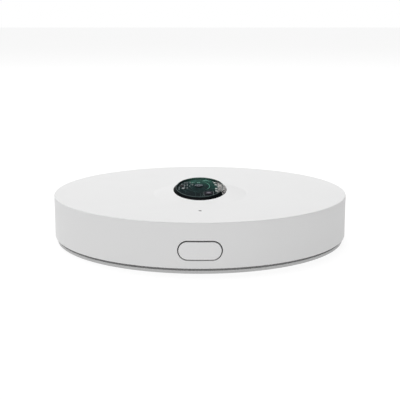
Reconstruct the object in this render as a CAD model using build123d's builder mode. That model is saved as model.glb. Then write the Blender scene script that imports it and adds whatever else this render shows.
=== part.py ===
"""Air quality monitor: a flat round puck with a sensor window in its top and a button in its side.

Millimetres, +Z up. The origin is the centre of the surface that the monitor stands on.
The front, with the button, faces -Y, and the power inlet faces +Y.
"""

from build123d import *
import os
from math import cos, radians, sin, sqrt

os.makedirs("parts", exist_ok=True)

# ---------------------------------------------------------------- driving dimensions

# casing
body_r = 56.0
casing_top = 18.15
casing_bottom = 2.45
wall = 2.0
rim_round = 0.4
edge_break = 0.12
inner_r = body_r - wall
ceiling = casing_top - wall

# base, and the shadow gap between it and the casing
base_r = 55.1
base_bottom = 0.4
base_rim_top = 1.5
floor_top = 1.9
neck_r = 53.7
neck_wall = 2.0
neck_top = 4.6
pillar_top = 4.8

# oval window on a low rise in the top, tilted towards the front
window_tilt = 5.8
window_y = -6.0
window_a = 10.15
window_b = 14.0
seat_lift = 0.1
rise_spread_across = 8.0
rise_spread_along = 9.5
bezel_rim = 1.0
bezel_inset = 1.05
bezel_foot = -4.6
crystal_edge = 0.4
crystal_crown = 0.9
crystal_inset = 1.3
sensor_board_top = bezel_rim - 0.6
sensor_board_thick = 1.0
sensor_board_bottom = sensor_board_top - sensor_board_thick

# button in the front wall
button_width = 14.4
button_height = 6.03
button_gap = 0.375
button_z = 8.58
button_sag = 0.08
button_flange_front = 53.0
button_flange_back = 52.2
plunger_front = 48.9
press_play = 0.1

# circuit board
board_r = 47.5
board_bottom = 5.0
board_top = 6.2
boss_reach = 35.0
board_screw_x = 38.0
board_screw_y = 16.0

# power inlet in the rear wall
inlet_width = 8.94
inlet_height = 3.26
inlet_z = 7.88
inlet_mouth = 53.7
inlet_depth = 7.3

# sound outlet in the top
pinhole_y = -37.6
pinhole_r = 0.6

# the window's parts stand on this plane, which passes through the seat of its bezel
tilt_sine = sin(radians(window_tilt))
tilt_cosine = cos(radians(window_tilt))
window_plane = Plane(origin=(0, window_y, casing_top + seat_lift + window_b * tilt_sine),
                     x_dir=(1, 0, 0), z_dir=(0, -tilt_sine, tilt_cosine))

boss_places = [(boss_reach, boss_reach), (-boss_reach, boss_reach),
               (-boss_reach, -boss_reach), (boss_reach, -boss_reach)]
board_screw_places = [(board_screw_x, board_screw_y), (-board_screw_x, board_screw_y),
                      (-board_screw_x, -board_screw_y), (board_screw_x, -board_screw_y)]


def on_wall(edge):
    """True for an edge that lies on the casing's round wall, well below its top rim."""
    places = [edge @ share for share in (0.0, 0.3, 0.6, 1.0)]
    return all(abs(place.X ** 2 + place.Y ** 2 - body_r ** 2) < 0.5 and place.Z < 14 for place in places)


# ---------------------------------------------------------------- casing

# top cover: a shell with the button and inlet cut-outs, the window hole and four screw bosses
with BuildPart() as top_cover:
    with BuildSketch(Plane.XY.offset(casing_bottom)):
        Circle(body_r)
    extrude(amount=casing_top - casing_bottom)
    fillet(top_cover.edges().sort_by(Axis.Z)[-1], radius=rim_round)
    with BuildSketch(Plane.XY.offset(casing_bottom)):
        Circle(inner_r)
    extrude(amount=ceiling - casing_bottom, mode=Mode.SUBTRACT)
    # the top swells gently up to the window
    with BuildSketch(Plane.XY.offset(casing_top - 0.1)):
        with Locations((0, window_y)):
            Ellipse(window_a + rise_spread_across, window_b + rise_spread_along)
    with BuildSketch(window_plane):
        Ellipse(window_a + 0.12, window_b + 0.12)
    loft()
    with BuildSketch(window_plane.offset(-6)):
        Ellipse(window_a - 0.6, window_b - 0.6)
    extrude(amount=12, mode=Mode.SUBTRACT)
    # pocket in the ceiling for the gasket and the ring below it
    with BuildSketch(window_plane.offset(-wall)):
        Ellipse(window_a + 1.4, window_b + 1.4)
    extrude(amount=-3.5, mode=Mode.SUBTRACT)
    with BuildSketch(Plane.XY.offset(ceiling - 1)):
        with Locations((0, pinhole_y)):
            Circle(pinhole_r)
    extrude(amount=5, mode=Mode.SUBTRACT)
    # screw bosses
    with BuildSketch(Plane.XY.offset(pillar_top)):
        with Locations(boss_places):
            Circle(3.0)
    extrude(amount=ceiling - pillar_top)
    with BuildSketch(Plane.XY.offset(pillar_top)):
        with Locations(boss_places):
            Circle(1.27)
    extrude(amount=8.0, mode=Mode.SUBTRACT)
    # rib ring that stiffens the flat top
    with BuildSketch(Plane.XY.offset(ceiling - 1.2)):
        Circle(30.0)
        Circle(28.8, mode=Mode.SUBTRACT)
    extrude(amount=1.2)
    # button cut-out
    with BuildSketch(Plane.XZ.offset(body_r + 1)):
        with Locations((0, button_z)):
            SlotOverall(button_width + 2 * button_gap, button_height + 2 * button_gap)
    extrude(amount=-6, mode=Mode.SUBTRACT)
    # inlet cut-out
    with BuildSketch(Plane.XZ.offset(-body_r - 1)):
        with Locations((0, inlet_z)):
            SlotOverall(inlet_width + 0.7, inlet_height + 0.7)
    extrude(amount=6, mode=Mode.SUBTRACT)
    # broken outer edges along the bottom and round the two cut-outs
    chamfer(top_cover.edges().filter_by(lambda edge: on_wall(edge) and edge.length > 1), length=edge_break)
top_cover.part.label = "top_cover"
export_step(top_cover.part, "parts/top_cover.step")

# base plate: a slim disc with a neck that centres it in the casing
with BuildPart() as base_plate:
    with BuildSketch(Plane.XY.offset(base_bottom)):
        Circle(base_r)
    extrude(amount=base_rim_top - base_bottom)
    chamfer(base_plate.edges().sort_by(Axis.Z)[0], length=0.15)
    with BuildSketch(Plane.XY.offset(base_rim_top)):
        Circle(neck_r)
    extrude(amount=floor_top - base_rim_top)
    with BuildSketch(Plane.XY.offset(floor_top)):
        Circle(neck_r)
        Circle(neck_r - neck_wall, mode=Mode.SUBTRACT)
    extrude(amount=neck_top - floor_top)
    # pillars for the case screws, and standoffs for the circuit board
    with BuildSketch(Plane.XY.offset(floor_top)):
        with Locations(boss_places):
            Circle(3.5)
    extrude(amount=pillar_top - floor_top)
    with BuildSketch(Plane.XY.offset(floor_top)):
        with Locations(board_screw_places):
            Circle(2.6)
    extrude(amount=board_bottom - floor_top)
    with BuildSketch(Plane.XY.offset(base_bottom)):
        with Locations(boss_places):
            Circle(1.4)
    extrude(amount=pillar_top - base_bottom, mode=Mode.SUBTRACT)
    with BuildSketch(Plane.XY.offset(base_bottom)):
        with Locations(boss_places):
            Circle(2.5)
    extrude(amount=2.1, mode=Mode.SUBTRACT)
    with BuildSketch(Plane.XY.offset(board_bottom)):
        with Locations(board_screw_places):
            Circle(1.02)
    extrude(amount=-3.4, mode=Mode.SUBTRACT)
    # air slots through the neck, behind the shadow gap, away from the front
    with BuildSketch(Plane.XY.offset(floor_top)):
        with PolarLocations(52.7, 28, start_angle=-45, angular_range=270):
            Rectangle(3.0, 3.0)
    extrude(amount=1.7, mode=Mode.SUBTRACT)
    # vents in the floor
    with BuildSketch(Plane.XY.offset(base_bottom)):
        with PolarLocations(30.0, 24):
            SlotOverall(12.0, 1.8)
    extrude(amount=floor_top - base_bottom, mode=Mode.SUBTRACT)
    # recesses for the feet
    with BuildSketch(Plane.XY.offset(base_bottom)):
        for foot_angle in (0, 90, 180, 270):
            with BuildLine(mode=Mode.PRIVATE):
                recess_arc = CenterArc((0, 0), 45.5, foot_angle - 18, 36)
            SlotArc(recess_arc, 5.3)
    extrude(amount=0.6, mode=Mode.SUBTRACT)
base_plate.part.label = "base_plate"
export_step(base_plate.part, "parts/base_plate.step")

# four curved rubber feet
with BuildPart() as foot_pads:
    with BuildSketch(Plane.XY):
        for foot_angle in (0, 90, 180, 270):
            with BuildLine(mode=Mode.PRIVATE):
                foot_arc = CenterArc((0, 0), 45.5, foot_angle - 18, 36)
            SlotArc(foot_arc, 5.0)
    extrude(amount=base_bottom + 0.6)
    fillet(foot_pads.edges().group_by(Axis.Z)[0], radius=0.2)
foot_pads.part.label = "foot_pads"
export_step(foot_pads.part, "parts/foot_pads.step")

# dust filter over the floor vents
with BuildPart() as vent_filter:
    with BuildSketch(Plane.XY.offset(floor_top)):
        Circle(37.5)
        Circle(22.5, mode=Mode.SUBTRACT)
        with Locations(board_screw_places):
            Circle(4.0, mode=Mode.SUBTRACT)
    extrude(amount=0.35)
vent_filter.part.label = "vent_filter"
export_step(vent_filter.part, "parts/vent_filter.step")

# blank plate where the rating label would go
with BuildPart() as blank_label:
    with BuildSketch(Plane.XY.offset(base_bottom)):
        RectangleRounded(26.0, 16.0, 1.5)
    extrude(amount=-0.12)
blank_label.part.label = "blank_label"
export_step(blank_label.part, "parts/blank_label.step")

# four screws from below into the cover's bosses, with hexagon sockets
with BuildPart() as case_screws:
    with BuildSketch(Plane.XY.offset(0.9)):
        with Locations(boss_places):
            Circle(2.3)
    extrude(amount=1.6)
    chamfer(case_screws.edges().group_by(Axis.Z)[0], length=0.25)
    with BuildSketch(Plane.XY.offset(2.5)):
        with Locations(boss_places):
            Circle(1.25)
    extrude(amount=9.0)
    with BuildSketch(Plane.XY.offset(0.9)):
        with Locations(boss_places):
            RegularPolygon(0.85, 6)
    extrude(amount=0.9, mode=Mode.SUBTRACT)
case_screws.part.label = "case_screws"
export_step(case_screws.part, "parts/case_screws.step")


# ---------------------------------------------------------------- window

# bezel: a black oval barrel whose lip slopes up to the crystal
with BuildPart() as window_bezel:
    with BuildSketch(window_plane.offset(bezel_foot)):
        Ellipse(window_a - 0.7, window_b - 0.7)
    extrude(amount=-bezel_foot)
    with BuildSketch(window_plane):
        Ellipse(window_a, window_b)
    with BuildSketch(window_plane.offset(bezel_rim)):
        Ellipse(window_a - bezel_inset, window_b - bezel_inset)
    loft()
    with BuildSketch(window_plane.offset(bezel_foot)):
        Ellipse(window_a - 2.6, window_b - 2.6)
    extrude(amount=bezel_rim - bezel_foot, mode=Mode.SUBTRACT)
    with BuildSketch(window_plane.offset(sensor_board_bottom)):
        Ellipse(window_a - 1.45, window_b - 1.45)
    extrude(amount=bezel_rim - sensor_board_bottom, mode=Mode.SUBTRACT)
    with BuildSketch(window_plane.offset(bezel_rim - crystal_edge)):
        Ellipse(window_a - 1.25, window_b - 1.25)
    extrude(amount=crystal_edge, mode=Mode.SUBTRACT)
window_bezel.part.label = "window_bezel"
export_step(window_bezel.part, "parts/window_bezel.step")

# crystal: a thin round dome, stretched lengthwise to the window's oval, then set in the bezel
crystal_r = window_a - crystal_inset
dome_radius = (crystal_r ** 2 + crystal_crown ** 2) / (2 * crystal_crown)
dome_half = crystal_crown - dome_radius + sqrt(dome_radius ** 2 - (crystal_r / 2) ** 2)
with BuildPart() as round_dome:
    with BuildSketch(Plane.XZ):
        with BuildLine():
            Line((0, crystal_crown - crystal_edge), (0, crystal_crown))
            ThreePointArc((0, crystal_crown), (crystal_r / 2, dome_half), (crystal_r, 0))
            Line((crystal_r, 0), (crystal_r, -crystal_edge))
            ThreePointArc((crystal_r, -crystal_edge), (crystal_r / 2, dome_half - crystal_edge),
                          (0, crystal_crown - crystal_edge))
        make_face()
    revolve(axis=Axis.Z)
    scale(by=(1, (window_b - crystal_inset) / crystal_r, 1))
with BuildPart() as window_crystal:
    add(round_dome.part.moved(window_plane.offset(bezel_rim).location))
window_crystal.part.label = "window_crystal"
export_step(window_crystal.part, "parts/window_crystal.step")

# soft gasket, and the stiff ring below it that holds the bezel from inside
with BuildPart() as window_gasket:
    with BuildSketch(window_plane.offset(-wall)):
        Ellipse(window_a + 1.3, window_b + 1.3)
        Ellipse(window_a - 0.6, window_b - 0.6, mode=Mode.SUBTRACT)
    extrude(amount=-0.8)
window_gasket.part.label = "window_gasket"
export_step(window_gasket.part, "parts/window_gasket.step")

with BuildPart() as window_retainer:
    with BuildSketch(window_plane.offset(-wall - 0.8)):
        Ellipse(window_a + 1.3, window_b + 1.3)
        Ellipse(window_a - 0.65, window_b - 0.65, mode=Mode.SUBTRACT)
    extrude(amount=-1.2)
window_retainer.part.label = "window_retainer"
export_step(window_retainer.part, "parts/window_retainer.step")


# ---------------------------------------------------------------- sensor board in the window

with BuildPart() as sensor_board:
    with BuildSketch(window_plane.offset(sensor_board_bottom)):
        Ellipse(window_a - 1.55, window_b - 1.55)
    extrude(amount=sensor_board_thick)
sensor_board.part.label = "sensor_board"
export_step(sensor_board.part, "parts/sensor_board.step")

# oval copper guard ring round the gas sensor
with BuildPart() as guard_ring:
    with BuildSketch(window_plane.offset(sensor_board_top)):
        with Locations((0, 2.8)):
            Ellipse(3.8, 6.1)
            Ellipse(3.57, 5.87, mode=Mode.SUBTRACT)
    extrude(amount=0.08)
guard_ring.part.label = "guard_ring"
export_step(guard_ring.part, "parts/guard_ring.step")

# gas sensor: a small round can with an inlet hole
with BuildPart() as gas_sensor:
    with BuildSketch(window_plane.offset(sensor_board_top)):
        with Locations((-0.5, 2.4)):
            Circle(1.45)
            Circle(0.4, mode=Mode.SUBTRACT)
    extrude(amount=0.5)
    with BuildSketch(window_plane.offset(sensor_board_top)):
        with Locations((-0.5, 2.4)):
            Circle(1.0)
    extrude(amount=0.2)
gas_sensor.part.label = "gas_sensor"
export_step(gas_sensor.part, "parts/gas_sensor.step")

# temperature and humidity sensor: a small block with a port
with BuildPart() as humidity_sensor:
    with BuildSketch(window_plane.offset(sensor_board_top)):
        with Locations((-5.4, 6.6)):
            Rectangle(1.7, 1.7)
    extrude(amount=0.1)
    with BuildSketch(window_plane.offset(sensor_board_top + 0.1)):
        with Locations((-5.4, 6.6)):
            Rectangle(1.7, 1.7)
            Circle(0.35, mode=Mode.SUBTRACT)
    extrude(amount=0.2)
humidity_sensor.part.label = "humidity_sensor"
export_step(humidity_sensor.part, "parts/humidity_sensor.step")

with BuildPart() as light_sensor:
    with BuildSketch(window_plane.offset(sensor_board_top)):
        with Locations((-7.1, 2.7)):
            Rectangle(1.5, 2.2)
    extrude(amount=0.3)
light_sensor.part.label = "light_sensor"
export_step(light_sensor.part, "parts/light_sensor.step")

# signal chip: a body with four short leads on each long side
with BuildPart() as signal_chip:
    with BuildSketch(window_plane.offset(sensor_board_top + 0.05)):
        with Locations((3.25, -6.7)):
            Rectangle(2.3, 3.9)
    extrude(amount=0.28)
    with BuildSketch(window_plane.offset(sensor_board_top)):
        with Locations((3.25, -6.7)):
            with GridLocations(0, 0.95, 1, 4):
                Rectangle(3.1, 0.35)
    extrude(amount=0.14)
signal_chip.part.label = "signal_chip"
export_step(signal_chip.part, "parts/signal_chip.step")

# four status lights in a column that follows the window's edge
with BuildPart() as status_leds:
    with BuildSketch(window_plane.offset(sensor_board_top)):
        with Locations((5.6, 7.1), (6.05, 4.3), (6.25, -1.0), (6.2, -4.1)):
            Rectangle(0.8, 1.2)
    extrude(amount=0.22)
status_leds.part.label = "status_leds"
export_step(status_leds.part, "parts/status_leds.step")

# chip resistors and capacitors
with BuildPart() as chip_resistors:
    with BuildSketch(window_plane.offset(sensor_board_top)):
        with Locations((-4.9, 4.2), (-4.9, 0.4), (-7.0, 5.0), (-3.9, 7.3), (-2.9, 4.6),
                       (-6.0, 1.1), (-5.9, 3.6), (-7.9, 0.6), (-8.0, -1.4)):
            Rectangle(0.5, 1.0)
    extrude(amount=0.22)
chip_resistors.part.label = "chip_resistors"
export_step(chip_resistors.part, "parts/chip_resistors.step")

# crescent of tinned shield on the board's right edge
with BuildPart() as shield_crescent:
    with BuildSketch(window_plane.offset(sensor_board_top)):
        Ellipse(window_a - 1.7, window_b - 1.7)
        with Locations((-1.9, 0)):
            Ellipse(window_a - 1.4, window_b + 8.0, mode=Mode.SUBTRACT)
    extrude(amount=0.12)
shield_crescent.part.label = "shield_crescent"
export_step(shield_crescent.part, "parts/shield_crescent.step")

# pressure sensor with a white lid, to the left of the ring
with BuildPart() as pressure_sensor:
    with BuildSketch(window_plane.offset(sensor_board_top)):
        with Locations((-6.4, -0.8)):
            Circle(0.7)
    extrude(amount=0.3)
pressure_sensor.part.label = "pressure_sensor"
export_step(pressure_sensor.part, "parts/pressure_sensor.step")


# ---------------------------------------------------------------- main circuit board

with BuildPart() as main_board:
    with BuildSketch(Plane.XY.offset(board_bottom)):
        Circle(board_r)
        with Locations((0, 48.0)):
            Rectangle(12.0, 7.0)
        with Locations(boss_places):
            Circle(3.7, mode=Mode.SUBTRACT)
        with Locations(board_screw_places):
            Circle(1.2, mode=Mode.SUBTRACT)
    extrude(amount=board_top - board_bottom)
main_board.part.label = "main_board"
export_step(main_board.part, "parts/main_board.step")

with BuildPart() as board_screws:
    with BuildSketch(Plane.XY.offset(board_top)):
        with Locations(board_screw_places):
            Circle(1.9)
    extrude(amount=1.3)
    chamfer(board_screws.edges().group_by(Axis.Z)[-1], length=0.3)
    with BuildSketch(Plane.XY.offset(board_top)):
        with Locations(board_screw_places):
            Circle(1.0)
    extrude(amount=-4.2)
board_screws.part.label = "board_screws"
export_step(board_screws.part, "parts/board_screws.step")

with BuildPart() as microcontroller:
    with BuildSketch(Plane.XY.offset(board_top)):
        with Locations((2.0, -12.0)):
            Rectangle(7.0, 7.0)
    extrude(amount=0.85)
    chamfer(microcontroller.edges().group_by(Axis.Z)[-1], length=0.15)
microcontroller.part.label = "microcontroller"
export_step(microcontroller.part, "parts/microcontroller.step")

with BuildPart() as memory_chip:
    with BuildSketch(Plane.XY.offset(board_top)):
        with Locations((-8.5, -13.0)):
            Rectangle(4.0, 5.0)
    extrude(amount=0.8)
memory_chip.part.label = "memory_chip"
export_step(memory_chip.part, "parts/memory_chip.step")

# radio module: its own small board, with a pressed shield over the near end
with BuildPart() as radio_module:
    with BuildSketch(Plane.XY.offset(board_top)):
        with Locations((24.0, -8.0)):
            Rectangle(18.0, 25.0)
    extrude(amount=0.8)
radio_module.part.label = "radio_module"
export_step(radio_module.part, "parts/radio_module.step")

with BuildPart() as radio_shield:
    with BuildSketch(Plane.XY.offset(board_top + 0.8)):
        with Locations((24.0, -4.4)):
            RectangleRounded(16.0, 16.6, 0.8)
    extrude(amount=2.3)
    fillet(radio_shield.edges().group_by(Axis.Z)[-1], radius=0.3)
radio_shield.part.label = "radio_shield"
export_step(radio_shield.part, "parts/radio_shield.step")

# carbon dioxide sensor: a metal box with a breathing membrane on top
with BuildPart() as co2_sensor:
    with BuildSketch(Plane.XY.offset(board_top)):
        with Locations((-24.0, 12.0)):
            RectangleRounded(10.1, 10.1, 0.7)
    extrude(amount=6.5)
    fillet(co2_sensor.edges().group_by(Axis.Z)[-1], radius=0.4)
co2_sensor.part.label = "co2_sensor"
export_step(co2_sensor.part, "parts/co2_sensor.step")

with BuildPart() as co2_membrane:
    with BuildSketch(Plane.XY.offset(board_top + 6.5)):
        with Locations((-24.0, 12.0)):
            Circle(2.8)
    extrude(amount=0.25)
co2_membrane.part.label = "co2_membrane"
export_step(co2_membrane.part, "parts/co2_membrane.step")

# power supply, beside the inlet
with BuildPart() as power_inductor:
    with BuildSketch(Plane.XY.offset(board_top)):
        with Locations((12.0, 36.0)):
            RectangleRounded(5.0, 5.0, 0.8)
    extrude(amount=2.6)
    fillet(power_inductor.edges().group_by(Axis.Z)[-1], radius=0.3)
power_inductor.part.label = "power_inductor"
export_step(power_inductor.part, "parts/power_inductor.step")

with BuildPart() as power_chip:
    with BuildSketch(Plane.XY.offset(board_top)):
        with Locations((5.0, 35.0)):
            Rectangle(3.0, 3.0)
    extrude(amount=0.9)
power_chip.part.label = "power_chip"
export_step(power_chip.part, "parts/power_chip.step")

with BuildPart() as capacitors:
    with BuildSketch(Plane.XY.offset(board_top)):
        with Locations((-9.0, 36.0), (-15.5, 34.0)):
            Circle(2.5)
    extrude(amount=5.4)
    fillet(capacitors.edges().group_by(Axis.Z)[-1], radius=0.35)
capacitors.part.label = "capacitors"
export_step(capacitors.part, "parts/capacitors.step")

# sounder under the pinhole, sealed to the cover by a foam ring
with BuildPart() as sounder:
    with BuildSketch(Plane.XY.offset(board_top)):
        with Locations((0, pinhole_y)):
            Circle(5.5)
    extrude(amount=8.5)
    fillet(sounder.edges().sort_by(Axis.Z)[-1], radius=0.4)
    with BuildSketch(Plane.XY.offset(board_top + 8.5)):
        with Locations((0, pinhole_y)):
            Circle(0.9)
    extrude(amount=-1.5, mode=Mode.SUBTRACT)
sounder.part.label = "sounder"
export_step(sounder.part, "parts/sounder.step")

with BuildPart() as sounder_seal:
    with BuildSketch(Plane.XY.offset(board_top + 8.5)):
        with Locations((0, pinhole_y)):
            Circle(4.0)
            Circle(1.3, mode=Mode.SUBTRACT)
    extrude(amount=ceiling - board_top - 8.5)
sounder_seal.part.label = "sounder_seal"
export_step(sounder_seal.part, "parts/sounder_seal.step")

# one connector on each board, and the ribbon that joins them
with BuildPart() as board_connectors:
    with BuildSketch(Plane.XY.offset(board_top)):
        with Locations((0, 9.0)):
            Rectangle(7.0, 2.5)
    extrude(amount=1.3)
    with BuildSketch(window_plane.offset(sensor_board_bottom)):
        Rectangle(7.0, 2.5)
    extrude(amount=-1.2)
board_connectors.part.label = "board_connectors"
export_step(board_connectors.part, "parts/board_connectors.step")

ribbon_low = board_top + 0.6
ribbon_start = window_plane.from_local_coords(Vector(0, 1.27, sensor_board_bottom - 0.6))
ribbon_out = window_plane.from_local_coords(Vector(0, 5.0, sensor_board_bottom - 0.6))
with BuildPart() as ribbon_cable:
    with BuildSketch(Plane.YZ.offset(-2.5)):
        with BuildLine():
            FilletPolyline((ribbon_start.Y, ribbon_start.Z), (ribbon_out.Y, ribbon_out.Z),
                           (ribbon_out.Y, 12.2), (2.6, 12.2), (2.6, ribbon_low),
                           (7.74, ribbon_low), radius=1.5)
        trace(line_width=0.16)
    extrude(amount=5.0)
ribbon_cable.part.label = "ribbon_cable"
export_step(ribbon_cable.part, "parts/ribbon_cable.step")


# ---------------------------------------------------------------- power inlet

with BuildPart() as inlet_shell:
    with BuildSketch(Plane.XZ.offset(-inlet_mouth)):
        with Locations((0, inlet_z)):
            SlotOverall(inlet_width, inlet_height)
    extrude(amount=inlet_depth)
    with BuildSketch(Plane.XZ.offset(-inlet_mouth)):
        with Locations((0, inlet_z)):
            SlotOverall(inlet_width - 0.6, inlet_height - 0.6)
    extrude(amount=inlet_depth - 0.3, mode=Mode.SUBTRACT)
    # two tabs solder the shell to the board
    with BuildSketch(Plane.XY.offset(board_top)):
        with Locations((0, 48.6)):
            with GridLocations(6.4, 0, 2, 1):
                Rectangle(1.0, 2.0)
    extrude(amount=0.3)
inlet_shell.part.label = "inlet_shell"
export_step(inlet_shell.part, "parts/inlet_shell.step")

with BuildPart() as inlet_tongue:
    with BuildSketch(Plane.XZ.offset(-inlet_mouth + inlet_depth - 0.35)):
        with Locations((0, inlet_z)):
            SlotOverall(inlet_width - 0.7, inlet_height - 0.7)
    extrude(amount=-1.2)
    with BuildSketch(Plane.XZ.offset(-inlet_mouth + inlet_depth - 0.35)):
        with Locations((0, inlet_z)):
            Rectangle(6.7, 0.7)
    extrude(amount=-5.6)
inlet_tongue.part.label = "inlet_tongue"
export_step(inlet_tongue.part, "parts/inlet_tongue.step")


# ---------------------------------------------------------------- button and switch

# button: its face follows the round wall, a flange behind the wall keeps it in,
# and a stem reaches the switch; it hangs a little low in its cut-out
with BuildPart() as front_button:
    with BuildSketch(Plane.XZ.offset(button_flange_back)):
        with Locations((0, button_z - button_sag)):
            SlotOverall(button_width, button_height)
    extrude(amount=6)
    with BuildSketch(Plane.XY):
        Circle(body_r)
    extrude(amount=20, mode=Mode.INTERSECT)
    chamfer(front_button.edges().sort_by(Axis.Y)[0:2], length=0.12)
    with BuildSketch(Plane.XZ.offset(button_flange_back)):
        with Locations((0, button_z - button_sag)):
            SlotOverall(16.6, 7.3)
    extrude(amount=button_flange_front - button_flange_back)
    with BuildSketch(Plane.XZ.offset(plunger_front + press_play)):
        with Locations((0, button_z - button_sag)):
            RectangleRounded(3.0, 2.4, 0.4)
    extrude(amount=button_flange_back - plunger_front - press_play)
front_button.part.label = "front_button"
export_step(front_button.part, "parts/front_button.step")

# bracket glued inside the wall, with a window that guides the button's stem
with BuildPart() as button_bracket:
    with BuildSketch(Plane.XZ.offset(50.2)):
        with Locations((0, button_z)):
            Rectangle(24.0, 7.2)
    extrude(amount=1.0)
    with BuildSketch(Plane.XZ.offset(51.2)):
        with Locations((0, button_z)):
            with GridLocations(21.6, 0, 2, 1):
                Rectangle(2.4, 7.2)
    extrude(amount=4.0)
    with BuildSketch(Plane.XY):
        Circle(inner_r - 0.02)
    extrude(amount=20, mode=Mode.INTERSECT)
    with BuildSketch(Plane.XZ.offset(50.2)):
        with Locations((0, button_z)):
            RectangleRounded(3.6, 3.0, 0.6)
    extrude(amount=1.0, mode=Mode.SUBTRACT)
button_bracket.part.label = "button_bracket"
export_step(button_bracket.part, "parts/button_bracket.step")

# side-acting switch at the board's front edge, hollow where its plunger runs
with BuildPart() as tact_switch:
    with BuildSketch(Plane.XZ.offset(47.1)):
        with Locations((0, board_top + 2.3)):
            Rectangle(7.0, 4.6)
    extrude(amount=-3.5)
    with BuildSketch(Plane.XZ.offset(47.1)):
        with Locations((0, button_z)):
            Rectangle(3.0, 1.9)
    extrude(amount=-2.2, mode=Mode.SUBTRACT)
tact_switch.part.label = "tact_switch"
export_step(tact_switch.part, "parts/tact_switch.step")

with BuildPart() as switch_plunger:
    with BuildSketch(Plane.XZ.offset(46.1)):
        with Locations((0, button_z)):
            RectangleRounded(2.7, 1.6, 0.2)
    extrude(amount=plunger_front - 46.1)
switch_plunger.part.label = "switch_plunger"
export_step(switch_plunger.part, "parts/switch_plunger.step")
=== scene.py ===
"""The looks of a flat round air quality monitor.

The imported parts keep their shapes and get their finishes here. What is added is the fine work that shows
through the window (tracks, pads, solder, printed lines), the folded edge of the tin shield, the crystal's
ground edge, the sleeve and mesh of the sound hole, the strip in the shadow gap, the seal round the button,
the contacts of the inlet, and the floor, light and camera. Lengths are in metres; MM turns millimetres into
them.
"""

from math import cos, pi, radians, sin

import bpy
import numpy as np
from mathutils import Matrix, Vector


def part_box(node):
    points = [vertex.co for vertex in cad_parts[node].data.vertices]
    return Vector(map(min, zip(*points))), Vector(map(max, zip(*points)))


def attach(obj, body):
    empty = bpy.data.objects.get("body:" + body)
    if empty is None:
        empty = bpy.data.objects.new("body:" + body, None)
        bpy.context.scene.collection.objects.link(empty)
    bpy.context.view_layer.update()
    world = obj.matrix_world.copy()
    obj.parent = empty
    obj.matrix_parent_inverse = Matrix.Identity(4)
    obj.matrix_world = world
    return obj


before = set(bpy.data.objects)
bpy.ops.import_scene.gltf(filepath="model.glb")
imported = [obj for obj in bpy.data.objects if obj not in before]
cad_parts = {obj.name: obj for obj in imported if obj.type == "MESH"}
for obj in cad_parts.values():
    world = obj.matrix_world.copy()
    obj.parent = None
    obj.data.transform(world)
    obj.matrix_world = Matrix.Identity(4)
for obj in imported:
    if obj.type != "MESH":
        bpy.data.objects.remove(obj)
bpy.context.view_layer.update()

MM = 0.001

# ---------------------------------------------------------------- camera and light

CAMERA_PLACE = (0.0, -344.5 * MM, 84.94 * MM)
CAMERA_PITCH = radians(78.408)
CAMERA_LENS = 81.19


def set_camera():
    """A long lens a little above the monitor, looking at its front."""
    camera = bpy.data.objects.new("camera", bpy.data.cameras.new("camera"))
    bpy.context.scene.collection.objects.link(camera)
    camera.location = CAMERA_PLACE
    camera.rotation_euler = (CAMERA_PITCH, 0, 0)
    camera.data.sensor_width = 36.0
    camera.data.lens = CAMERA_LENS
    camera.data.clip_start = 0.01
    camera.data.clip_end = 50.0
    bpy.context.scene.camera = camera


def hang_soft_box(name, place, aim, size, power):
    """An oblong soft light at place, facing aim; power in watts."""
    light = bpy.data.objects.new(name, bpy.data.lights.new(name, "AREA"))
    bpy.context.scene.collection.objects.link(light)
    light.data.shape = "RECTANGLE"
    light.data.size, light.data.size_y = size
    light.data.energy = power
    light.location = place
    light.rotation_mode = "QUATERNION"
    light.rotation_quaternion = (Vector(aim) - Vector(place)).to_track_quat("-Z", "Y")


set_camera()
hang_soft_box("top_soft_box", (-0.1, 0.4, 1.1), (0, 0, 0), (1.2, 0.8), 12.1)


# ---------------------------------------------------------------- shader maths

class Value:
    """A shader socket in a Python expression: each operator adds the Math node that it stands for."""

    def __init__(self, nodes, socket):
        self.nodes = nodes
        self.socket = socket

    def math(self, operation, *others):
        return self.nodes.add("ShaderNodeMath", {"operation": operation}, dict(enumerate((self, *others))))

    def after(self, operation, first):
        return self.nodes.add("ShaderNodeMath", {"operation": operation}, {0: first, 1: self})

    def __add__(self, other):
        return self.math("ADD", other)

    def __sub__(self, other):
        return self.math("SUBTRACT", other)

    def __rsub__(self, other):
        return self.after("SUBTRACT", other)

    def __mul__(self, other):
        return self.math("MULTIPLY", other)

    def __abs__(self):
        return self.math("ABSOLUTE")

    __radd__ = __add__
    __rmul__ = __mul__


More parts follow.
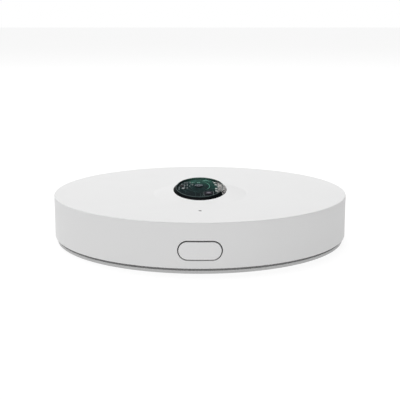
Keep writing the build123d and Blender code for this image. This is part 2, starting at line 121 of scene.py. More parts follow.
class Nodes:
    """A node tree, and the short words that fill it."""

    def __init__(self, tree):
        self.tree = tree
        self.tree.nodes.clear()

    def add(self, kind, settings=(), values=(), out=0):
        """A new node: its settings first, then the values or links of its sockets."""
        node = self.tree.nodes.new(kind)
        for key, value in dict(settings).items():
            setattr(node, key, value)
        for key, value in dict(values).items():
            self.feed(node.inputs[key], value)
        return Value(self, node.outputs[out])

    def feed(self, socket, value):
        """Links a value to a socket, or sets the socket to a number or a colour."""
        if isinstance(value, Value):
            self.tree.links.new(value.socket, socket)
        elif socket.type == "RGBA":
            socket.default_value = (*value, 1.0)
        else:
            socket.default_value = value

    def place(self, centre=(0, 0, 0), turn=(0, 0, 0), scale=(1, 1, 1)):
        """The place on the piece, seen from centre, then turned and scaled."""
        here = self.add("ShaderNodeTexCoord", out="Object")
        moved = self.add("ShaderNodeVectorMath", {"operation": "SUBTRACT"}, {0: here, 1: centre})
        return self.add("ShaderNodeMapping", {}, {"Vector": moved, "Rotation": turn, "Scale": scale})

    def axis(self, place, letter):
        """One of the three numbers of a place."""
        return self.add("ShaderNodeSeparateXYZ", {}, {0: place}, out=letter)

    def noise(self, place, size, detail=2.0, swirl=0.0):
        """Soft clouds from 0 to 1, about size metres across; swirl bends them."""
        values = {"Vector": place, "Scale": 1 / size, "Detail": detail, "Distortion": swirl}
        return self.add("ShaderNodeTexNoise", {}, values)

    def cells(self, place, size):
        """The distance to the nearest of scattered points, about size metres apart, as a share of size."""
        return self.add("ShaderNodeTexVoronoi", {}, {"Vector": place, "Scale": 1 / size}, out="Distance")

    def wave(self, value, length):
        """A sine of value, from -1 to 1, that repeats every length metres."""
        return (value * (2 * pi / length)).math("SINE")

    def ease(self, value, low, high):
        """Carries low..high smoothly to 0..1, and holds the ends."""
        values = {0: value, 1: low, 2: high}
        return self.add("ShaderNodeMapRange", {"interpolation_type": "SMOOTHSTEP"}, values)

    def mix(self, share, first, second):
        """A colour from the first, at share 0, to the second, at 1."""
        return self.add("ShaderNodeMix", {"data_type": "RGBA"}, {0: share, 6: first, 7: second}, out=2)


class Finish(Nodes):
    """A material: one Principled shader and what feeds it. Keys are its sockets' names, with _ for each
    space."""

    def __init__(self, name, **sockets):
        self.material = bpy.data.materials.new(name)
        self.material.use_nodes = True
        super().__init__(self.material.node_tree)
        self.shader = self.tree.nodes.new("ShaderNodeBsdfPrincipled")
        out = self.tree.nodes.new("ShaderNodeOutputMaterial")
        self.tree.links.new(self.shader.outputs[0], out.inputs["Surface"])
        self.put(**sockets)

    def put(self, **sockets):
        """Sets or links sockets of the shader."""
        for key, value in sockets.items():
            self.feed(self.shader.inputs[key.replace("_", " ")], value)

    def emboss(self, height, depth):
        """Lights the surface as if height, from 0 to 1, stood depth metres out of it."""
        self.put(Normal=self.add("ShaderNodeBump", {}, {"Height": height, "Distance": depth}))


def light_room():
    """The room: white behind and along the horizon, a broad soft light in front, dim at both sides, and a
    dark card above the backdrop."""
    world = bpy.data.worlds.new("studio")
    world.use_nodes = True
    room = Nodes(world.node_tree)
    direction = room.add("ShaderNodeTexCoord", out="Generated")
    up = room.axis(direction, "Z")
    back = room.axis(direction, "Y")
    right = room.axis(direction, "X")
    white = room.ease(back, 0.75, 0.95).math("MAXIMUM", room.ease(up, 0.16, 0.05))
    in_front = 0.1 + 0.86 * room.ease(right, -0.75, -0.2) - 0.91 * room.ease(right, -0.1, 0.35)
    wall_light = in_front + white * (1 - in_front)
    card = room.ease(up, 0.12, 0.2) * room.ease(up, 0.75, 0.6) * room.ease(back, 0.1, 0.5)
    strength = wall_light * (1 - 0.85 * card)
    background = room.add("ShaderNodeBackground", {}, {"Color": (1, 1, 1), "Strength": strength})
    out = room.tree.nodes.new("ShaderNodeOutputWorld")
    room.tree.links.new(background.socket, out.inputs["Surface"])
    bpy.context.scene.world = world
    bpy.context.scene.view_settings.view_transform = "Standard"


light_room()


# ---------------------------------------------------------------- the window's own axes

WINDOW_TILT = radians(5.8)
ACROSS = np.array((1.0, 0.0, 0.0))
UPWARD = np.array((0.0, cos(WINDOW_TILT), sin(WINDOW_TILT)))
OUTWARD = np.array((0.0, -sin(WINDOW_TILT), cos(WINDOW_TILT)))

board_low, board_high = (np.array(corner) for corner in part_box("sensor_board"))
BOARD_THICK = 1.0 * MM
BOARD_TOP = (board_low + board_high) / 2 + OUTWARD * BOARD_THICK / 2
BOARD_A = (board_high[0] - board_low[0]) / 2
BOARD_B = ((board_high[1] - board_low[1]) / 2 - BOARD_THICK / 2 * sin(WINDOW_TILT)) / cos(WINDOW_TILT)
RIM_HEIGHT = 0.6 * MM


def on_board(x, y, height):
    """Points x to the right, y towards the back and height above the sensor board, all in metres."""
    x, y, height = (np.asarray(v, float)[..., None] for v in np.broadcast_arrays(x, y, height))
    return BOARD_TOP + x * ACROSS + y * UPWARD + height * OUTWARD


# ---------------------------------------------------------------- surfaces

def skin(rings, loop=False):
    """A closed surface through rings[n, m, 3]: each ring is joined to the next by quads, and the end
    rings are filled unless they loop. The sign of the volume inside tells whether the faces have to be
    turned outwards."""
    count, around = rings.shape[:2]
    index = np.arange(count * around).reshape(count, around)
    here = index if loop else index[:-1]
    there = np.roll(index, -1, axis=0) if loop else index[1:]
    quads = np.stack([here, np.roll(here, -1, 1), np.roll(there, -1, 1), there], -1).reshape(-1, 4)
    faces = quads.tolist()
    if not loop:
        faces += [index[0, ::-1].tolist(), index[-1].tolist()]
    points = rings.reshape(-1, 3)
    centred = points - points.mean(axis=0)
    corners = centred[quads]
    volume = np.einsum("ij,ij->i", corners[:, 0], np.cross(corners[:, 1], corners[:, 2])).sum()
    volume += np.einsum("ij,ij->i", corners[:, 0], np.cross(corners[:, 2], corners[:, 3])).sum()
    if not loop:
        for cap in faces[-2:]:
            fan = centred[cap]
            volume += (np.cross(fan[1:-1], fan[2:]) @ fan[0]).sum()
    if volume < 0:
        faces = [face[::-1] for face in faces]
    return points, faces


def piece(name, skins, finish, body="housing", smooth=True):
    """One object made of one or more closed skins, riding on a body."""
    points, faces, used = [], [], 0
    for skin_points, skin_faces in skins:
        points.append(skin_points)
        faces += [[corner + used for corner in face] for face in skin_faces]
        used += len(skin_points)
    mesh = bpy.data.meshes.new(name)
    mesh.from_pydata(np.concatenate(points).tolist(), [], faces)
    mesh.polygons.foreach_set("use_smooth", np.full(len(faces), smooth))
    if smooth:
        mesh.set_sharp_from_angle(angle=radians(35))
    mesh.materials.append(finish.material)
    made = bpy.data.objects.new(name, mesh)
    bpy.context.scene.collection.objects.link(made)
    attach(made, body)
    return made


def rounded_box(x, y, width, length, radius, corner_steps=4):
    """The outline of an oblong with round corners: each corner is a quarter circle about its own centre."""
    turn = np.linspace(0, pi / 2, corner_steps)
    quarter = np.arange(4)[:, None] * pi / 2 + turn
    side_x = np.array((1, -1, -1, 1))[:, None] * (width / 2 - radius)
    side_y = np.array((1, 1, -1, -1))[:, None] * (length / 2 - radius)
    return x + (side_x + radius * np.cos(quarter)).ravel(), y + (side_y + radius * np.sin(quarter)).ravel()


def block(x, y, width, length, low, high, radius=0.05 * MM, edge=0.03 * MM, to_space=on_board):
    """A small body with round corners and a softened top edge: the outline is carried up from low to high
    and drawn in by edge over the last step."""
    outlines = [rounded_box(x, y, width - 2 * inset, length - 2 * inset, radius) for inset in (0, 0, edge)]
    heights = (low, high - edge, high)
    return skin(np.stack([to_space(ox, oy, h) for (ox, oy), h in zip(outlines, heights)]))


def turned(x, y, profile, steps=32):
    """A turned body on the board: each point (radius, height) of the profile makes a ring."""
    angle = np.linspace(0, 2 * pi, steps, endpoint=False)
    radius, height = (column[:, None] for column in np.array(profile, float).T)
    return skin(on_board(x + radius * np.cos(angle), y + radius * np.sin(angle), height))


def hoop(x, y, outer, inner, low, high, steps=96, to_space=on_board):
    """A flat oval hoop of oblong section, whose outer and inner half axes are pairs."""
    angle = np.linspace(0, 2 * pi, steps, endpoint=False)[:, None]
    a = np.array((inner[0], outer[0], outer[0], inner[0]))
    b = np.array((inner[1], outer[1], outer[1], inner[1]))
    height = np.array((low, low, high, high))
    return skin(to_space(x + a * np.cos(angle), y + b * np.sin(angle), height + 0 * angle), loop=True)


def track(points, width, thick=0.035 * MM, low=0.0, to_space=on_board):
    """A flat strip along a line of points (x, y): at each point an oblong section stands across the mean
    of the two directions that meet there, widened by the secant of half the turn so that the strip keeps
    its width."""
    points = np.array(points, float)
    runs = np.diff(points, axis=0)
    runs /= np.linalg.norm(runs, axis=1, keepdims=True)
    before = np.vstack([runs[:1], runs])
    after = np.vstack([runs, runs[-1:]])
    mean = before + after
    mean /= np.linalg.norm(mean, axis=1, keepdims=True)
    reach = width / 2 / np.einsum("ij,ij->i", mean, after)
    side = np.stack([-mean[:, 1], mean[:, 0]], -1) * reach[:, None]
    flat = np.stack([points - side, points + side, points + side, points - side], axis=1)
    heights = np.array((low, low, low + thick, low + thick))
    return skin(to_space(flat[..., 0], flat[..., 1], heights + 0 * flat[..., 0]))


def arc(x, y, a, b, start, end, steps=40):
    """Points of an oval arc, from one angle to another in degrees: (x, y) plus (a cosine, b sine) of the
    angle."""
    angle = np.radians(np.linspace(start, end, steps))
    return np.stack([x + a * np.cos(angle), y + b * np.sin(angle)], -1)


# ---------------------------------------------------------------- finishes

def moulded(name, colour, sheen=0.5, grain=0.3 * MM, depth=0.004 * MM):
    """Matt moulded plastic: a fine spark-eroded grain, faint clouds in the tone, and an uneven sheen."""
    finish = Finish(name, IOR=1.46)
    here = finish.place()
    darker = tuple(0.975 * part for part in colour)
    finish.put(Base_Color=finish.mix(finish.noise(here, 15 * MM, 3), darker, colour))
    finish.put(Roughness=sheen - 0.05 + 0.1 * finish.noise(here, 5 * MM))
    finish.emboss(finish.noise(here, grain, 3), depth)
    return finish


def drawn_metal(name, colour, sheen=0.35, stretch=(0.05, 1, 1)):
    """Metal with fine brush lines: noise that is stretched along one axis, in tone, roughness and
    height."""
    finish = Finish(name, Metallic=1.0)
    lines = finish.noise(finish.place(scale=stretch), 0.08 * MM, 2)
    darker = tuple(0.78 * part for part in colour)
    finish.put(Base_Color=finish.mix(lines, darker, colour), Roughness=sheen - 0.1 + 0.2 * lines)
    finish.emboss(lines, 0.004 * MM)
    return finish


def moulding_compound(name, colour):
    """The matt black body of a chip: glass filler shows as fine pale specks."""
    finish = Finish(name, Roughness=0.6, Specular_IOR_Level=0.3)
    here = finish.place()
    specks = finish.ease(finish.cells(here, 0.1 * MM), 0.18, 0.05)
    paler = tuple(1.9 * part + 0.004 for part in colour)
    finish.put(Base_Color=finish.mix(specks, colour, paler))
    finish.emboss(finish.noise(here, 0.06 * MM, 2), 0.004 * MM)
    return finish


def speckled(name, colour, other, size, sheen, depth):
    """Ceramic, foam and rubber: two tones in small cells, with the cells' height."""
    finish = Finish(name, Specular_IOR_Level=0.35)
    here = finish.place()
    cells = finish.cells(here, size)
    finish.put(Base_Color=finish.mix(finish.ease(cells, 0.1, 0.6), other, colour))
    finish.put(Roughness=sheen - 0.06 + 0.12 * finish.noise(here, 6 * size))
    finish.emboss(cells, depth)
    return finish


def board_place(finish):
    """The place on the sensor board along its own axes, from the middle of its top."""
    return finish.place(tuple(BOARD_TOP), (-WINDOW_TILT, 0, 0))


def sensor_mask():
    """The sensor board's green solder mask, with painted light and shade: a painted pool of light near the
    back, where light falls in under the crystal, painted shade that makes it nearly black at the front, and
    painted light on its right; a weave of glass and faint pours of copper show through it."""
    finish = Finish("sensor_board_green", Specular_IOR_Level=0.04)
    here = board_place(finish)
    x = finish.axis(here, "X")
    y = finish.axis(here, "Y")
    # painted light and shade: the mask is coloured lighter near the back and middle, darker towards the
    # front, and lighter on the right
    centre = 1 - finish.ease(abs(x - 0.4 * MM), 1.5 * MM, 7.5 * MM)
    painted_back_light = finish.ease(y, 3.5 * MM, 11 * MM) * centre
    middle = finish.ease(y, -10 * MM, 7 * MM)
    right = finish.ease(x, 2.5 * MM, 5 * MM) * finish.ease(y, -5 * MM, 1 * MM)
    painted_front_shade = finish.mix(middle, (0.002, 0.006, 0.008), (0.006, 0.026, 0.028))
    with_painted_right_light = finish.mix(0.6 * right, painted_front_shade, (0.012, 0.075, 0.058))
    lit = finish.mix(painted_back_light, with_painted_right_light, (0.035, 0.14, 0.1))
    pours = finish.ease(finish.cells(finish.place(tuple(BOARD_TOP), (0, 0, 0.4)), 2.6 * MM), 0.42, 0.5)
    poured = finish.mix(0.3 * pours, lit, (0.006, 0.016, 0.02))
    weave = finish.wave(x, 0.35 * MM) * finish.wave(y, 0.35 * MM)
    finish.put(Base_Color=finish.mix(0.03 + 0.03 * weave, poured, (0.03, 0.1, 0.08)))
    finish.put(Roughness=0.5 + 0.1 * finish.noise(here, 1.5 * MM))
    finish.emboss(0.5 + 0.5 * weave, 0.003 * MM)
    return finish


def ring_copper():
    """Copper under pale green mask, with a painted highlight on the right of the guard ring and painted
    shade on its left and front."""
    finish = Finish("copper_trace", Roughness=0.45, Specular_IOR_Level=0.2)
    here = board_place(finish)
    x = finish.axis(here, "X")
    y = finish.axis(here, "Y")
    # painted highlight on the ring's right, painted shade on its left and front
    right = finish.ease(x, 0.8 * MM, 3.4 * MM)
    front = finish.ease(y, 1.2 * MM, -2.6 * MM)
    painted_light_share = right * (1 - 0.8 * front)
    worn = finish.noise(here, 0.5 * MM, 3)
    dim = finish.mix(worn, (0.008, 0.04, 0.038), (0.014, 0.062, 0.055))
    finish.put(Base_Color=finish.mix(painted_light_share, dim, (0.13, 0.42, 0.31)))
    finish.emboss(worn, 0.003 * MM)
    return finish


def two_tone(name, dark, light):
    """Masked copper, tin or print: two tones in fine clouds, with a faint relief."""
    finish = Finish(name, Roughness=0.45, Specular_IOR_Level=0.2)
    here = board_place(finish)
    grain = finish.noise(here, 0.3 * MM, 3)
    finish.put(Base_Color=finish.mix(grain, dark, light))
    finish.emboss(grain, 0.003 * MM)
    return finish


def swirled_tin():
    """The tin shield: tinning that ran in swirls, with painted highlights on the crests and painted shade
    in the folds.
    """
    finish = Finish("shield_tin", Metallic=0.15, Specular_IOR_Level=0.3)
    here = board_place(finish)
    swirls = finish.wave(finish.noise(here, 4.5 * MM, 1, 1.2) * MM, 0.13 * MM)
    # painted highlight and shade: the tin is coloured pale on the crests and dark in the folds
    crest_and_highlight = finish.ease(swirls, -0.6, 0.8)
    flecks = finish.noise(here, 0.35 * MM, 3)
    tone = finish.mix(crest_and_highlight, (0.07, 0.067, 0.065), (0.64, 0.62, 0.6))
    finish.put(Base_Color=finish.mix(0.25 * flecks, tone, (0.3, 0.3, 0.31)), Roughness=0.35 + 0.3 * flecks)
    finish.emboss(crest_and_highlight, 0.03 * MM)
    return finish


def crystal():
    """The clear crystal: nearly all light passes, and a faint haze of fine scratches stays in its gloss."""
    finish = Finish("crystal_clear", Base_Color=(0.004, 0.01, 0.011), IOR=1.3, Alpha=0.07)
    here = finish.place()
    finish.put(Roughness=0.03 + 0.08 * finish.noise(here, 4 * MM, 4))
    finish.emboss(finish.noise(here, 3 * MM), 0.002 * MM)
    return finish


def glossy_black():
    """The bezel: black gloss plastic with faint moulding waves and a few dull patches."""
    finish = Finish("bezel_black", Specular_IOR_Level=0.03)
    here = finish.place()
    patches = finish.noise(here, 3 * MM, 3)
    finish.put(Base_Color=finish.mix(patches, (0.002, 0.003, 0.0035), (0.004, 0.006, 0.007)))
    finish.put(Roughness=0.35 + 0.16 * patches)
    finish.emboss(finish.noise(here, 1.2 * MM), 0.003 * MM)
    return finish


def board_mask(name, colour):
    """The main board's mask: the glass weave and a grid of buried tracks show through it."""
    finish = Finish(name, Specular_IOR_Level=0.4)
    here = finish.place()
    x = finish.axis(here, "X")
    y = finish.axis(here, "Y")
    weave = finish.wave(x, 0.5 * MM) * finish.wave(y, 0.5 * MM)
    runs = finish.ease(abs(finish.wave(x + y, 3 * MM)), 0.93, 0.99)
    paler = tuple(2.0 * part for part in colour)
    finish.put(Base_Color=finish.mix(0.55 * runs + 0.08 * weave, colour, paler))
    finish.put(Roughness=0.38 + 0.1 * finish.noise(here, 4 * MM))
    finish.emboss(0.8 * runs + 0.1 * weave, 0.01 * MM)
    return finish


def woven(name, colour, pitch):
    """Cloth: threads cross over and under each other at pitch, with painted shade where they dip under."""
    finish = Finish(name, Roughness=0.9, Specular_IOR_Level=0.2)
    here = finish.place()
    # painted shade: the threads are coloured darker where they dip under each other
    over = finish.wave(finish.axis(here, "X"), pitch) * finish.wave(finish.axis(here, "Y"), pitch)
    darker = tuple(0.45 * part for part in colour)
    finish.put(Base_Color=finish.mix(0.5 + 0.5 * over, darker, colour))
    finish.emboss(0.5 + 0.5 * over, 0.05 * MM)
    return finish


def milky_lens():
    """The lights' lenses: milky, paler and darker in soft clouds."""
    finish = Finish("light_lens", Roughness=0.3, Specular_IOR_Level=0.3)
    clouds = finish.noise(finish.place(), 0.4 * MM, 2)
    finish.put(Base_Color=finish.mix(clouds, (0.62, 0.66, 0.64), (0.86, 0.9, 0.88)))
    finish.emboss(clouds, 0.01 * MM)
    return finish


finishes = {
    "casing_white": moulded("casing_white", (0.84, 0.84, 0.84), 0.55),
    "base_white": moulded("base_white", (0.57, 0.57, 0.57), 0.6, 0.4 * MM, 0.008 * MM),
    "button_white": moulded("button_white", (0.86, 0.86, 0.86), 0.5, 0.25 * MM),
    "inner_plastic": moulded("inner_plastic", (0.06, 0.06, 0.065), 0.6),
    "connector_plastic": moulded("connector_plastic", (0.7, 0.68, 0.6), 0.5),
    "label_film": moulded("label_film", (0.72, 0.72, 0.72), 0.4, 0.15 * MM, 0.002 * MM),
    "membrane_white": woven("membrane_white", (0.85, 0.85, 0.83), 0.15 * MM),
    "filter_cloth": woven("filter_cloth", (0.3, 0.3, 0.31), 0.45 * MM),
    "bezel_black": glossy_black(),
    "crystal_clear": crystal(),
    "sensor_board_green": sensor_mask(),
    "main_board_green": board_mask("main_board_green", (0.01, 0.08, 0.045)),
    "chip_black": moulding_compound("chip_black", (0.012, 0.012, 0.015)),
    "copper_trace": ring_copper(),
    "shield_tin": swirled_tin(),
    "sensor_metal": moulding_compound("sensor_metal", (0.012, 0.014, 0.018)),
    "can_steel": drawn_metal("can_steel", (0.35, 0.35, 0.37), 0.45),
    "screw_steel": drawn_metal("screw_steel", (0.4, 0.4, 0.41), 0.35, (1, 1, 0.05)),
    "inlet_steel": drawn_metal("inlet_steel", (0.6, 0.6, 0.61), 0.28, (1, 0.05, 1)),
    "capacitor_can": drawn_metal("capacitor_can", (0.66, 0.66, 0.68), 0.3, (1, 1, 0.05)),
    "light_lens": milky_lens(),
    "ceramic_white": speckled("ceramic_white", (0.8, 0.82, 0.82), (0.6, 0.62, 0.62),
                              0.1 * MM, 0.5, 0.004 * MM),
    "ceramic_tan": speckled("ceramic_tan", (0.085, 0.095, 0.095), (0.035, 0.042, 0.044),
                            0.08 * MM, 0.5, 0.004 * MM),
    "foot_rubber": speckled("foot_rubber", (0.035, 0.035, 0.036), (0.02, 0.02, 0.02),
                            0.6 * MM, 0.85, 0.03 * MM),
    "gasket_foam": speckled("gasket_foam", (0.03, 0.03, 0.03), (0.006, 0.006, 0.006),
                            0.25 * MM, 0.95, 0.1 * MM),
    "ribbon_film": board_mask("ribbon_film", (0.28, 0.12, 0.03)),
}


def from_middle(finish, node):
    """The place seen from the middle of a node's box along the window's axes, and its distance from
    there."""
    low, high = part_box(node)
    here = finish.place(tuple((low + high) / 2), (-WINDOW_TILT, 0, 0))
    return here, finish.add("ShaderNodeVectorMath", {"operation": "LENGTH"}, {0: here}, out="Value")


def signal_chip_body():
    """The signal chip: dark violet compound with a painted highlight, a paler round patch in its middle."""
    finish = Finish("signal_chip_body", Roughness=0.5, Specular_IOR_Level=0.1)
    _, away = from_middle(finish, "signal_chip")
    # painted highlight: a paler round patch in the middle of the chip
    centre_highlight = finish.ease(away, 0.95 * MM, 0.55 * MM)
    specks = finish.noise(finish.place(), 0.15 * MM, 3)
    body = finish.mix(specks, (0.018, 0.016, 0.024), (0.036, 0.032, 0.046))
    finish.put(Base_Color=finish.mix(centre_highlight, body, (0.25, 0.24, 0.28)))
    finish.emboss(specks, 0.004 * MM)
    return finish


def white_lid():
    """The pressure sensor's lid: white in its middle, with a grey rim and a faint grain."""
    finish = Finish("white_lid", Roughness=0.5)
    here, away = from_middle(finish, "pressure_sensor")
    rim = finish.ease(away, 0.4 * MM, 0.55 * MM)
    grain = finish.noise(here, 0.1 * MM, 2)
    white = finish.mix(grain, (0.74, 0.76, 0.76), (0.86, 0.88, 0.88))
    finish.put(Base_Color=finish.mix(rim, white, (0.11, 0.13, 0.135)))
    finish.emboss(grain, 0.003 * MM)
    return finish


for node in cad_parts.values():
    node.material_slots[0].material = finishes[node.material_slots[0].material.name].material
own_finishes = {
    "signal_chip": signal_chip_body(),
    "pressure_sensor": white_lid(),
    "humidity_sensor": drawn_metal("dark_can", (0.13, 0.16, 0.17), 0.5),
}
for name, finish in own_finishes.items():
    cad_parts[name].material_slots[0].material = finish.material


# ---------------------------------------------------------------- on the sensor board

dim_copper = two_tone("dim_copper", (0.007, 0.034, 0.033), (0.014, 0.06, 0.053))
pale_copper = two_tone("pale_copper", (0.22, 0.52, 0.42), (0.34, 0.7, 0.58))
tin_pad = two_tone("tin_pad", (0.2, 0.25, 0.26), (0.52, 0.58, 0.58))
grey_tin = two_tone("grey_tin", (0.24, 0.28, 0.32), (0.36, 0.41, 0.46))
# painted shade: white print coloured dark grey, as it lies in the window's dark front
white_print_in_painted_shade = two_tone("white_print_in_painted_shade", (0.09, 0.11, 0.11), (0.14, 0.16, 0.165))


def place_on_board(node):
    """The x and y of a node's middle along the sensor board, as on_board takes them."""
    low, high = (np.array(corner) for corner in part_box(node))
    middle = (low + high) / 2
    return middle[0], (middle - BOARD_TOP) @ UPWARD


GUARD_CENTRE = place_on_board("guard_ring")
GAS_SENSOR = place_on_board("gas_sensor")


def window_tracks():
    """Dim tracks: ovals about the guard ring, and runs that fan out to the board's edge with 45 degree
    bends."""
    x, y = GUARD_CENTRE
    ovals = [arc(x, y, 5.1 * MM, 7.1 * MM, 205, 335), arc(x, y, 5.6 * MM, 7.7 * MM, 195, 262),
             arc(x, y, 3.1 * MM, 4.5 * MM, 120, 330), arc(x, y, 7.3 * MM, 9.9 * MM, 150, 236)]
    fan = [[(-2.2, -3.2), (-2.2, -5.0), (-1.6, -5.6), (-1.6, -9.6)],
           [(-1.4, -3.6), (-1.4, -4.6), (0.2, -6.2), (0.2, -11.0)],
           [(-0.3, -3.4), (-0.3, -4.3), (1.2, -5.8), (1.2, -8.6), (0.9, -9.0), (0.9, -11.2)],
           [(1.2, -3.2), (2.3, -4.3), (2.3, -4.7)], [(2.5, -2.6), (4.2, -4.3), (4.2, -4.7)],
           [(-4.6, -0.6), (-4.6, -1.4), (-5.4, -2.2), (-5.4, -5.6)],
           [(-3.4, 6.6), (-2.6, 7.4), (-2.6, 8.6)], [(2.7, 7.2), (3.3, 7.8), (3.3, 9.6)],
           [(3.6, 6.2), (4.4, 7.0), (4.4, 8.6)], [(4.4, 3.9), (5.1, 3.9), (5.4, 4.2)],
           [(4.3, 0.6), (4.9, 0.0), (4.9, -0.9), (5.5, -0.9)], [(4.9, -2.2), (4.9, -3.6), (5.5, -4.2)]]
    lines = ovals + [np.array(run) * MM for run in fan]
    return [track(line, 0.16 * MM) for line in lines]


def antenna():
    """A small antenna behind the ring: a strip that zigzags along the board's back edge."""
    bends = [(1.0, 9.7), (1.4, 10.5), (1.7, 10.0), (2.15, 11.4),
             (2.6, 10.3), (3.0, 10.8), (3.4, 9.9), (4.1, 10.1)]
    return track(np.array(bends) * MM, 0.16 * MM, 0.06 * MM)


def bright_pads():
    """Pale green pads: a broken row behind the gas sensor, and three dabs left of it."""
    row = [(-3.6, 7.7, 0.42), (-2.95, 7.75, 0.42), (-2.3, 7.8, 0.42), (-0.9, 7.85, 0.5), (-0.25, 7.85, 0.5)]
    dabs = [(-5.0, 5.2, 0.3), (-3.4, 5.6, 0.25), (-4.0, 3.2, 0.3)]
    return [block(x * MM, y * MM, width * MM, 0.6 * MM, 0, 0.06 * MM) for x, y, width in row + dabs]


def solder_ends():
    """Bright solder at both ends of each chip resistor."""
    places = [(-4.9, 4.2), (-4.9, 0.4), (-7.0, 5.0), (-3.9, 7.3), (-2.9, 4.6), (-6.0, 1.1), (-5.9, 3.6),
              (-7.9, 0.6), (-8.0, -1.4)]
    return [block(x * MM, (y + side * 0.52) * MM, 0.5 * MM, 0.3 * MM, 0, 0.24 * MM, 0.08 * MM, 0.06 * MM)
            for x, y in places for side in (-1, 1)]


def drops():
    """Small bright test points: low domes of tin at listed places."""
    places = [(-4.8, 6.1, 0.28), (-4.0, 2.7, 0.3), (-3.5, 5.0, 0.18), (-6.4, 4.6, 0.2), (5.0, 8.9, 0.25),
              (6.6, 1.9, 0.3), (-5.9, 1.3, 0.18), (6.5, -6.3, 0.22)]
    dome = np.array([(1.0, 0.0), (0.92, 0.4), (0.7, 0.75), (0.4, 0.95), (0.05, 1.0)])
    return [turned(x * MM, y * MM, dome * (size * MM, 0.16 * MM), 16) for x, y, size in places]


def via_holes():
    """Vias: small hoops, evenly spaced along the board's left edge and along two ovals about the guard
    ring."""
    rows = [((0.0, 0.0), (8.0, 11.6), (118, 250), 16), (GUARD_CENTRE, (4.75, 6.6), (35, 150), 9),
            (GUARD_CENTRE, (2.2, 3.0), (10, 340), 9)]
    hoops = []
    for middle, (a, b), (start, end), count in rows:
        for x, y in arc(*middle, a * MM, b * MM, start, end, count):
            hoops.append(hoop(x, y, (0.2 * MM,) * 2, (0.09 * MM,) * 2, 0, 0.03 * MM, 14))
    return hoops


def sensor_rings():
    """Two raised rings on the gas sensor's lid, round its inlet."""
    x, y = GAS_SENSOR
    lid = 0.5 * MM
    return [hoop(x, y, (outer * MM,) * 2, (inner * MM,) * 2, lid, lid + 0.05 * MM, 48)
            for outer, inner in ((1.43, 1.24), (0.78, 0.48))]


def chip_frame():
    """A printed line round the signal chip, open at one corner."""
    corners = [(1.5, -3.9), (5.1, -3.9), (5.1, -9.6), (1.5, -9.6), (1.5, -4.3)]
    return track(np.array(corners) * MM, 0.22 * MM, 0.02 * MM)


def folded_shield():
    """The tin shield's edge, folded over the bezel: it starts at the crystal, crosses the rim and goes
    down the slope to the top cover. Across the fold, each point is an oval with half axes a and b at its
    own height; along it, the angle runs from front to back, and both ends are cut back as the fold goes
    outwards."""
    slope = np.linspace(0, 1, 7)
    a = np.concatenate([(8.4, 8.75), 9.1 + 1.07 * slope]) * MM
    b = np.concatenate([(12.25, 12.6), 12.95 + 1.07 * slope]) * MM
    height = RIM_HEIGHT - np.concatenate([(0.45, 0.0), slope]) * MM
    front = np.linspace(-26, -33, len(a))
    back = np.linspace(39, 47.5, len(a))
    angle = np.radians(front + (back - front) * np.linspace(0, 1, 61)[:, None])
    thick = 0.05 * MM
    under, over = (on_board((a + lift) * np.cos(angle), (b + lift) * np.sin(angle), height + lift)
                   for lift in (0.0, thick))
    return skin(np.concatenate([under, over[:, ::-1]], axis=1))


piece("window_tracks", window_tracks(), dim_copper, smooth=False)
piece("antenna_strip", [antenna()], pale_copper, smooth=False)
piece("bright_pads", bright_pads(), pale_copper)
piece("solder_ends", solder_ends(), tin_pad)
piece("solder_drops", drops(), tin_pad)
piece("via_rings", via_holes(), dim_copper, smooth=False)
piece("gas_sensor_rings", sensor_rings(), grey_tin)
piece("chip_frame_print", [chip_frame()], white_print_in_painted_shade, smooth=False)
piece("folded_shield", [folded_shield()], finishes["shield_tin"])


# ---------------------------------------------------------------- crystal's ground edge

def ground_edge():
    """The crystal's ground edge: an oval bead on the joint between the crystal and the bezel. Towards the
    back it swells, to the inside and downwards, where more of the glass shows: back is 0 at the sides and
    1 at the back. Along the front and the left it spreads over the bezel's rim: spread is 1 there, and 0
    at the shield and back."""
    crystal_low, crystal_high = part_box("window_crystal")
    a = (crystal_high[0] - crystal_low[0]) / 2
    b = BOARD_B + a - BOARD_A
    angle = np.linspace(0, 2 * pi, 160, endpoint=False)[:, None]
    back = np.clip(np.sin(angle), 0, 1) ** 0.6
    spread = (1 - back) * (1 - np.clip((np.cos(angle) - 0.3) / 0.4, 0, 1))
    reach = np.array((-0.08, 0.1, 0.06, -0.05)) * MM + 0.27 * MM * spread
    reach = reach + back * np.array((-0.25, 0.14, 0.14, -0.25)) * MM
    height = RIM_HEIGHT + np.array((-0.02, -0.02, 0.15, 0.15)) * MM - 0.07 * MM * spread
    height = height + back * np.array((-0.55, 0, -0.1, -0.12)) * MM
    return skin(on_board((a + reach) * np.cos(angle), (b + reach) * np.sin(angle), height), loop=True)


def frost_and_painted_light():
    """Ground glass with painted light: a grey line along the front, partly the frost's own grey and partly
    a painted highlight on the edge, and along the back a painted glow of the board's green seen through the
    glass, lightest in the middle."""
    finish = Finish("ground_glass_painted_light", Specular_IOR_Level=0.1)
    here = board_place(finish)
    frost = finish.noise(here, 0.2 * MM, 3)
    # painted light: a painted edge highlight along the front, and the board's green painted as a glow along
    # the back
    back = finish.ease(finish.axis(here, "Y"), 1 * MM, 7 * MM)
    middle = 1 - finish.ease(abs(finish.axis(here, "X")), 2 * MM, 7.5 * MM)
    grey = finish.mix(frost, (0.07, 0.1, 0.1), (0.14, 0.18, 0.18))
    green = finish.mix(middle, (0.006, 0.02, 0.02), (0.03, 0.12, 0.085))
    finish.put(Base_Color=finish.mix(back, grey, green), Roughness=0.6 + 0.2 * frost)
    finish.emboss(frost, 0.01 * MM)
    return finish


piece("crystal_edge", [ground_edge()], frost_and_painted_light())


# ---------------------------------------------------------------- sound hole

def upright(x, y, height):
    """Points in the monitor's own axes."""
    return np.stack(np.broadcast_arrays(x, y, height), -1).astype(float)


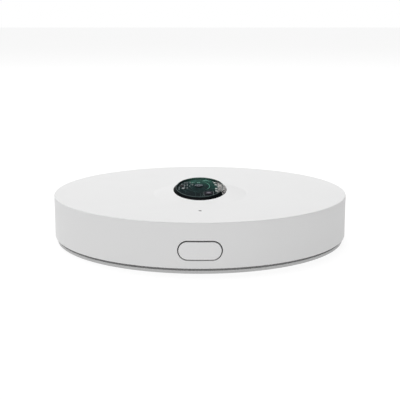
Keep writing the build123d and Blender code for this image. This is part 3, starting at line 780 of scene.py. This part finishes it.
HOLE_RADIUS = 0.6 * MM
SLEEVE_WALL = 0.05 * MM
seal_low, seal_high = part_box("sounder_seal")
hole_y = (seal_low[1] + seal_high[1]) / 2
TOP_FACE = 18.15 * MM


def hole_sleeve():
    """A black sleeve in the sound hole: a thin upright tube whose lip lies just below the top."""
    outer = (HOLE_RADIUS - 0.01 * MM,) * 2
    inner = (HOLE_RADIUS - 0.01 * MM - SLEEVE_WALL,) * 2
    return hoop(0, hole_y, outer, inner, seal_high[2], TOP_FACE - 0.01 * MM, 40, to_space=upright)


def hole_mesh():
    """Fine black cloth across the sleeve: threads both ways, each a flat strip cut to its chord of the
    hole."""
    radius = HOLE_RADIUS - 0.01 * MM - SLEEVE_WALL
    width = 0.045 * MM
    thick = 0.03 * MM
    level = TOP_FACE - 0.6 * MM
    threads = []
    for offset in np.linspace(-0.85, 0.85, 9) * radius:
        half = np.sqrt(radius ** 2 - offset ** 2)
        across = [(-half, hole_y + offset), (half, hole_y + offset)]
        along = [(offset, hole_y - half), (offset, hole_y + half)]
        threads.append(track(across, width, thick, level, to_space=upright))
        threads.append(track(along, width, thick, level + thick, to_space=upright))
    return threads


piece("sound_hole_sleeve", [hole_sleeve()], finishes["gasket_foam"])
piece("sound_hole_mesh", hole_mesh(), finishes["gasket_foam"], smooth=False)


# ---------------------------------------------------------------- shadow gap, button gap and inlet

NECK_RADIUS = 53.75 * MM
STRIP_RADIUS = 54.95 * MM
STRIP_LOW = 1.51 * MM
STRIP_HIGH = 2.44 * MM
PLEATS = 260


def pleated_strip():
    """A dark pleated strip that fills the shadow gap; its dark tone is painted shade that deepens the gap.
    An oblong section is carried round the neck, and its outer radius waves with the cosine of PLEATS times
    the angle."""
    angle = np.linspace(0, 2 * pi, 6 * PLEATS, endpoint=False)[:, None]
    outer = STRIP_RADIUS + 0.12 * MM * np.cos(PLEATS * angle)
    inner = NECK_RADIUS + 0 * angle
    radius = np.concatenate([inner, outer, outer, inner], axis=1)
    height = np.array((STRIP_LOW, STRIP_LOW, STRIP_HIGH, STRIP_HIGH))
    return skin(upright(radius * np.cos(angle), radius * np.sin(angle), height), loop=True)


BUTTON_WIDTH = 14.4 * MM
BUTTON_HEIGHT = 6.03 * MM
BUTTON_GAP = 0.375 * MM
BUTTON_MIDDLE = 8.58 * MM


def button_seal():
    """A black seal deep in the gap round the button; its black is painted shade that darkens the gap. Its
    line is an oblong with half-round ends; its section is a small oblong between two depths behind the
    casing's round wall, where y is minus the root of radius squared less x squared."""
    straight = (BUTTON_WIDTH - BUTTON_HEIGHT) / 2
    turn = np.radians(np.concatenate([np.linspace(-90, 90, 25), np.linspace(90, 270, 25)]))[:, None]
    side = np.where(np.arange(50) < 25, straight, -straight)[:, None]
    radius = BUTTON_HEIGHT / 2 + BUTTON_GAP / 2 + np.array((-0.09, 0.09, 0.09, -0.09)) * MM
    depth = np.array((0.4, 0.4, 0.9, 0.9)) * MM
    x = side + radius * np.cos(turn)
    z = BUTTON_MIDDLE + radius * np.sin(turn)
    casing_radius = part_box("top_cover")[1][0]
    y = -np.sqrt((casing_radius - depth) ** 2 - x ** 2)
    return skin(upright(x, y, z), loop=True)


def inlet_contacts():
    """Gold contacts on both faces of the inlet's tongue: twelve thin strips a side, half a millimetre
    apart."""
    low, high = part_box("inlet_tongue")
    length = 3.2 * MM
    middle = high[1] - 0.4 * MM - length / 2
    proud = 0.03 * MM
    sunk = 0.01 * MM
    faces = ((low[2] - proud, low[2] + sunk), (high[2] - sunk, high[2] + proud))
    strips = []
    for column in np.arange(12) - 5.5:
        for bottom, top in faces:
            strips.append(block(column * 0.5 * MM, middle, 0.26 * MM, length, bottom, top,
                                0.03 * MM, 0.01 * MM, to_space=upright))
    return strips


# painted shade: the strip's dark foam deepens the shade in the shadow gap
gap_shade_foam = speckled("gap_shade_foam", (0.21, 0.21, 0.21), (0.15, 0.15, 0.15), 0.25 * MM, 0.9, 0.05 * MM)
gold = drawn_metal("contact_gold", (0.75, 0.52, 0.2), 0.3, (1, 0.05, 1))
piece("air_gap_strip", [pleated_strip()], gap_shade_foam)
# painted shade: the black seal darkens the gap round the button
piece("button_gap_seal", [button_seal()], finishes["gasket_foam"])
piece("inlet_contacts", inlet_contacts(), gold)


# ---------------------------------------------------------------- floor

def lay_floor():
    """A wide white table that glows a little, as a light table does."""
    reach = 6.0
    mesh = bpy.data.meshes.new("floor")
    mesh.from_pydata([(-reach, -reach, 0), (reach, -reach, 0), (reach, reach, 0), (-reach, reach, 0)],
                     [], [(0, 1, 2, 3)])
    finish = Finish("table_white", Roughness=1.0, Specular_IOR_Level=0.0, Emission_Color=(1, 1, 1),
                    Emission_Strength=0.86)
    clouds = finish.noise(finish.place(), 0.3, 2)
    finish.put(Base_Color=finish.mix(clouds, (0.2, 0.2, 0.2), (0.22, 0.22, 0.22)))
    mesh.materials.append(finish.material)
    floor = bpy.data.objects.new("floor", mesh)
    bpy.context.scene.collection.objects.link(floor)


lay_floor()
